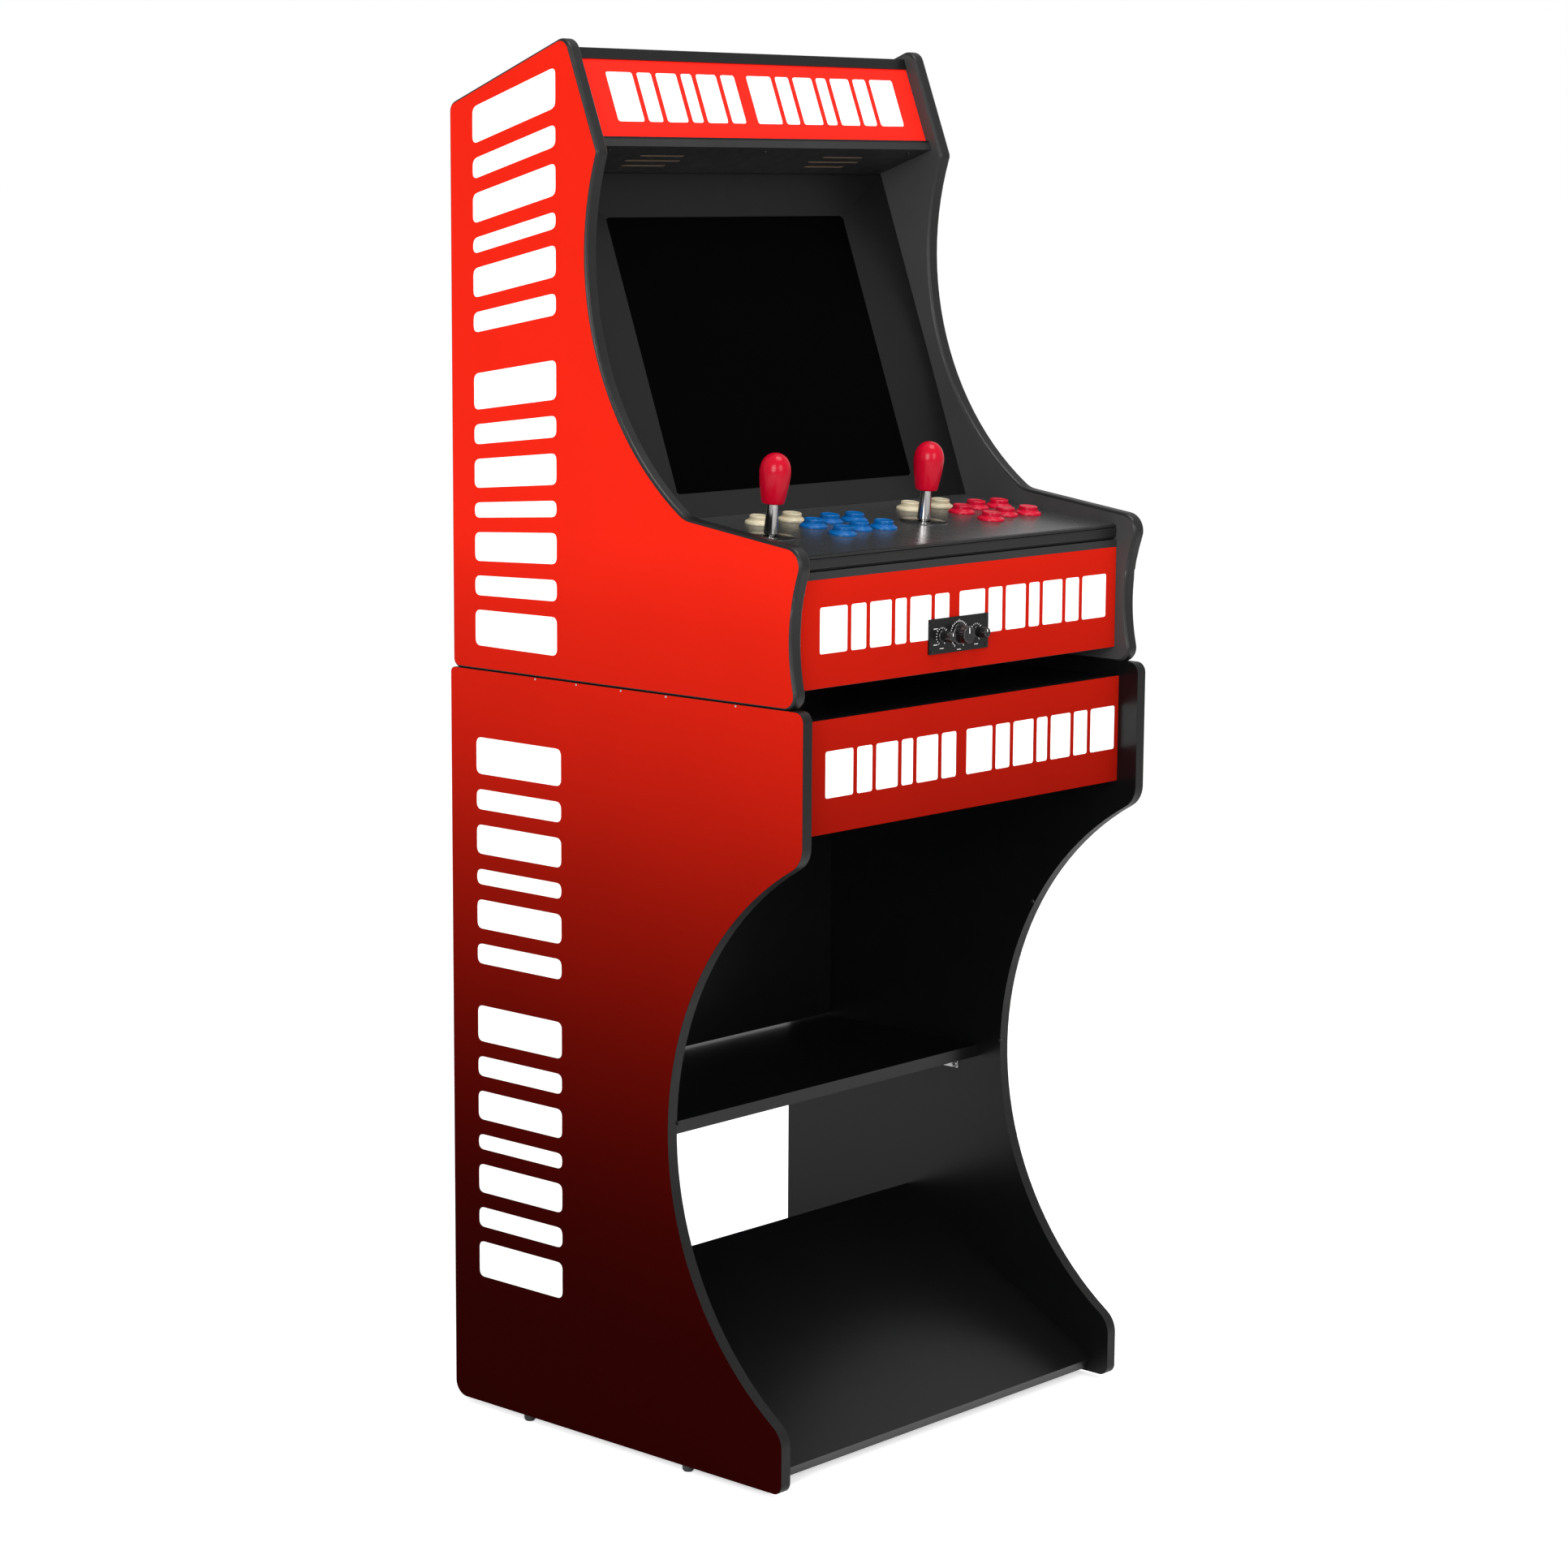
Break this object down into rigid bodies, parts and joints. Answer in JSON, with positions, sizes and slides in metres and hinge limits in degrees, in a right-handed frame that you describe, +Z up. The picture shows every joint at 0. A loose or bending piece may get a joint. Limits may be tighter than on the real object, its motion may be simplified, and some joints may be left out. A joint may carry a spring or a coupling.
{
  "type": "two-player arcade cabinet",
  "caption": "Full-height two-player arcade cabinet: a bartop unit with screen, joysticks and push buttons on a matching open stand with a shelf and a sloped foot board.",
  "frame": {"origin": "centre of the footprint, on the floor under the glides", "axes": "+Z up, -Y towards the players, +X to the right as a player sees it"},
  "size_m": [0.6194, 0.565, 1.64],
  "materials": {
    "side_board": "red printed satin sheet outside, black textured laminate inside",
    "front_board": "red printed satin sheet",
    "black_board": "black laminate with a fine matte grain",
    "raw_wood": "sawn softwood",
    "deck_board": "black with a clear glossy overlay",
    "edge_moulding": "black satin",
    "marquee_acrylic": "red backlit sheet",
    "black_metal": "black satin",
    "white_plastic": "white satin",
    "black_plastic": "black satin",
    "button_body": "glossy, in the colour of each plunger",
    "switch": "black",
    "fire_blue": "glossy blue",
    "fire_red": "glossy red",
    "menu_cream": "glossy cream",
    "bat_red": "glossy red",
    "chromed": "polished",
    "steel": "zinc plated",
    "knob_plastic": "black"
  },
  "bodies": {
    "root": {"amplifier": "black_metal", "bartop_base": "black_board", "bartop_side_left": "side_board", "bartop_side_right": "side_board", "bartop_top_panel": "black_board", "button_bodies": "button_body", "button_switches": "switch", "control_deck": "deck_board", "control_front_panel": "front_board", "deck_moulding": "edge_moulding", "dust_washers": "black_plastic", "edge_mouldings": "edge_moulding", "game_computer": "black_plastic", "joining_bolts": "steel", "joining_spacers": "black_plastic", "joystick_bases": "steel", "marquee_light": "white_plastic", "marquee_panel": "marquee_acrylic", "marquee_retainers": "black_metal", "monitor": "black_plastic", "monitor_rail": "raw_wood", "power_inlet": "black_plastic", "rear_service_panel": "black_board", "screen_bezel": "black_board", "shelf_brackets": "steel", "speaker_panel": "black_board", "speakers": "black_metal", "stand_back_panel": "black_board", "stand_foot_board": "black_board", "stand_glides": "black_plastic", "stand_kick_panel": "front_board", "stand_shelf": "black_board", "stand_side_left": "side_board", "stand_side_right": "side_board", "stand_top": "black_board"},
    "p1_gimbal": {"p1_gimbal": "steel"},
    "p1_stick": {"p1_shaft": "chromed", "p1_bat": "bat_red"},
    "p1_fire1": {"p1_fire1_plunger": "fire_blue"},
    "p1_fire2": {"p1_fire2_plunger": "fire_blue"},
    "p1_fire3": {"p1_fire3_plunger": "fire_blue"},
    "p1_fire4": {"p1_fire4_plunger": "fire_blue"},
    "p1_fire5": {"p1_fire5_plunger": "fire_blue"},
    "p1_fire6": {"p1_fire6_plunger": "fire_blue"},
    "p1_menu1": {"p1_menu1_plunger": "menu_cream"},
    "p1_menu2": {"p1_menu2_plunger": "menu_cream"},
    "p2_gimbal": {"p2_gimbal": "steel"},
    "p2_stick": {"p2_shaft": "chromed", "p2_bat": "bat_red"},
    "p2_fire1": {"p2_fire1_plunger": "fire_red"},
    "p2_fire2": {"p2_fire2_plunger": "fire_red"},
    "p2_fire3": {"p2_fire3_plunger": "fire_red"},
    "p2_fire4": {"p2_fire4_plunger": "fire_red"},
    "p2_fire5": {"p2_fire5_plunger": "fire_red"},
    "p2_fire6": {"p2_fire6_plunger": "fire_red"},
    "p2_menu1": {"p2_menu1_plunger": "menu_cream"},
    "p2_menu2": {"p2_menu2_plunger": "menu_cream"},
    "bass_knob": {"bass_knob": "knob_plastic"},
    "volume_knob": {"volume_knob": "knob_plastic"},
    "treble_knob": {"treble_knob": "knob_plastic"}
  },
  "joints": [
    {"name": "p1_stick_push", "type": "hinge", "parent": "root", "child": "p1_gimbal", "pos_m": [-0.2053, -0.13565, 1.07591], "axis": [1, 0, 0], "range_deg": [-9, 9], "stiffness_Nm_per_rad": 0.9},
    {"name": "p1_stick_swing", "type": "hinge", "parent": "p1_gimbal", "child": "p1_stick", "pos_m": [-0.2053, -0.13565, 1.07591], "axis": [0, 0.9955, 0.095], "range_deg": [-9, 9], "stiffness_Nm_per_rad": 0.9},
    {"name": "p1_fire1_press", "type": "slide", "parent": "root", "child": "p1_fire1", "axis": [0, 0.095, -0.9955], "range_m": [0, 0.003], "stiffness_N_per_m": 300, "springref_m": -0.002},
    {"name": "p1_fire2_press", "type": "slide", "parent": "root", "child": "p1_fire2", "axis": [0, 0.095, -0.9955], "range_m": [0, 0.003], "stiffness_N_per_m": 300, "springref_m": -0.002},
    {"name": "p1_fire3_press", "type": "slide", "parent": "root", "child": "p1_fire3", "axis": [0, 0.095, -0.9955], "range_m": [0, 0.003], "stiffness_N_per_m": 300, "springref_m": -0.002},
    {"name": "p1_fire4_press", "type": "slide", "parent": "root", "child": "p1_fire4", "axis": [0, 0.095, -0.9955], "range_m": [0, 0.003], "stiffness_N_per_m": 300, "springref_m": -0.002},
    {"name": "p1_fire5_press", "type": "slide", "parent": "root", "child": "p1_fire5", "axis": [0, 0.095, -0.9955], "range_m": [0, 0.003], "stiffness_N_per_m": 300, "springref_m": -0.002},
    {"name": "p1_fire6_press", "type": "slide", "parent": "root", "child": "p1_fire6", "axis": [0, 0.095, -0.9955], "range_m": [0, 0.003], "stiffness_N_per_m": 300, "springref_m": -0.002},
    {"name": "p1_menu1_press", "type": "slide", "parent": "root", "child": "p1_menu1", "axis": [0, 0.095, -0.9955], "range_m": [0, 0.003], "stiffness_N_per_m": 300, "springref_m": -0.002},
    {"name": "p1_menu2_press", "type": "slide", "parent": "root", "child": "p1_menu2", "axis": [0, 0.095, -0.9955], "range_m": [0, 0.003], "stiffness_N_per_m": 300, "springref_m": -0.002},
    {"name": "p2_stick_push", "type": "hinge", "parent": "root", "child": "p2_gimbal", "pos_m": [0.0627, -0.13565, 1.07591], "axis": [1, 0, 0], "range_deg": [-9, 9], "stiffness_Nm_per_rad": 0.9},
    {"name": "p2_stick_swing", "type": "hinge", "parent": "p2_gimbal", "child": "p2_stick", "pos_m": [0.0627, -0.13565, 1.07591], "axis": [0, 0.9955, 0.095], "range_deg": [-9, 9], "stiffness_Nm_per_rad": 0.9},
    {"name": "p2_fire1_press", "type": "slide", "parent": "root", "child": "p2_fire1", "axis": [0, 0.095, -0.9955], "range_m": [0, 0.003], "stiffness_N_per_m": 300, "springref_m": -0.002},
    {"name": "p2_fire2_press", "type": "slide", "parent": "root", "child": "p2_fire2", "axis": [0, 0.095, -0.9955], "range_m": [0, 0.003], "stiffness_N_per_m": 300, "springref_m": -0.002},
    {"name": "p2_fire3_press", "type": "slide", "parent": "root", "child": "p2_fire3", "axis": [0, 0.095, -0.9955], "range_m": [0, 0.003], "stiffness_N_per_m": 300, "springref_m": -0.002},
    {"name": "p2_fire4_press", "type": "slide", "parent": "root", "child": "p2_fire4", "axis": [0, 0.095, -0.9955], "range_m": [0, 0.003], "stiffness_N_per_m": 300, "springref_m": -0.002},
    {"name": "p2_fire5_press", "type": "slide", "parent": "root", "child": "p2_fire5", "axis": [0, 0.095, -0.9955], "range_m": [0, 0.003], "stiffness_N_per_m": 300, "springref_m": -0.002},
    {"name": "p2_fire6_press", "type": "slide", "parent": "root", "child": "p2_fire6", "axis": [0, 0.095, -0.9955], "range_m": [0, 0.003], "stiffness_N_per_m": 300, "springref_m": -0.002},
    {"name": "p2_menu1_press", "type": "slide", "parent": "root", "child": "p2_menu1", "axis": [0, 0.095, -0.9955], "range_m": [0, 0.003], "stiffness_N_per_m": 300, "springref_m": -0.002},
    {"name": "p2_menu2_press", "type": "slide", "parent": "root", "child": "p2_menu2", "axis": [0, 0.095, -0.9955], "range_m": [0, 0.003], "stiffness_N_per_m": 300, "springref_m": -0.002},
    {"name": "bass_turn", "type": "hinge", "parent": "root", "child": "bass_knob", "pos_m": [-0.0385, -0.2493, 0.9676], "axis": [0, -1, 0], "range_deg": [-150, 150]},
    {"name": "volume_turn", "type": "hinge", "parent": "root", "child": "volume_knob", "pos_m": [-0.0075, -0.2493, 0.9676], "axis": [0, -1, 0], "range_deg": [-150, 150]},
    {"name": "treble_turn", "type": "hinge", "parent": "root", "child": "treble_knob", "pos_m": [0.0235, -0.2493, 0.9676], "axis": [0, -1, 0], "range_deg": [-150, 150]}
  ]
}
